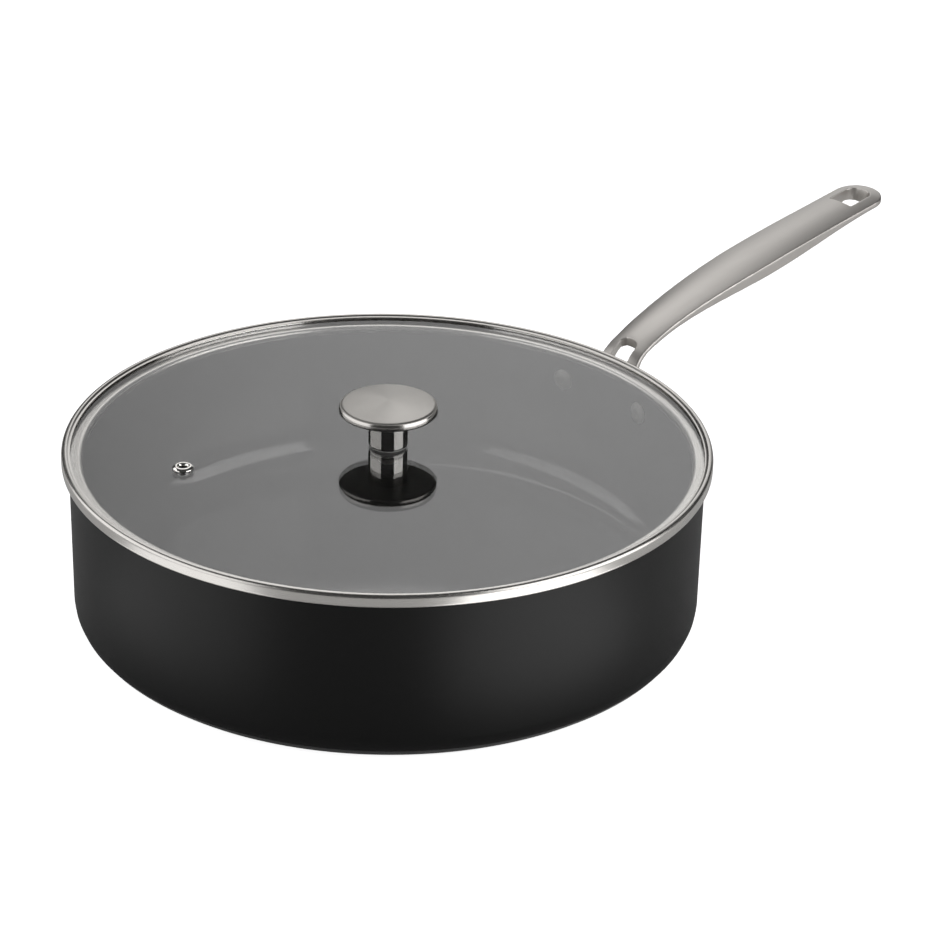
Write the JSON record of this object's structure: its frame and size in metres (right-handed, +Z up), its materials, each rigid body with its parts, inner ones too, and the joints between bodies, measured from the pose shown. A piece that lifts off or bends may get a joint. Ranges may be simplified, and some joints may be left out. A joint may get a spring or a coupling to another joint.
{
  "type": "saute pan with lid",
  "caption": "Straight-sided saute pan with a riveted forked stainless handle and a flat glass lid with a steel band, steam vent and mushroom knob, for frying and simmering on a stovetop.",
  "frame": {"origin": "centre of the flat underside that the pan stands on", "axes": "+X from the pan's axis along the handle, +Z up along the pan's axis"},
  "size_m": [0.5051, 0.31, 0.1303],
  "materials": {
    "anodised_aluminium": "matte dark hard-anodised outside, dark non-stick coating inside",
    "satin_steel": "satin",
    "band_steel": "fine brushed",
    "polished_steel": "mirror polished",
    "plate_steel": "plain turned",
    "rivet_steel": "plain",
    "tempered_glass": "clear, flat",
    "clear_silicone": "translucent",
    "grey_silicone": "matte"
  },
  "bodies": {
    "pan": {"pan_body": "anodised_aluminium", "induction_plate": "plate_steel", "handle": "satin_steel", "handle_rivet_left": "rivet_steel", "handle_rivet_right": "rivet_steel"},
    "lid": {"lid_glass": "tempered_glass", "lid_band": "band_steel", "vent_eyelet": "polished_steel", "vent_washer": "grey_silicone", "knob_head": "satin_steel", "knob_stem": "polished_steel", "knob_seal": "clear_silicone", "knob_grommet": "grey_silicone", "knob_washer": "plate_steel", "knob_spring_washer": "plate_steel", "knob_screw": "plate_steel"}
  },
  "joints": [
    {"name": "lid_lift", "type": "slide", "parent": "pan", "child": "lid", "axis": [0, 0, 1], "range_m": [0, 0.12]}
  ]
}
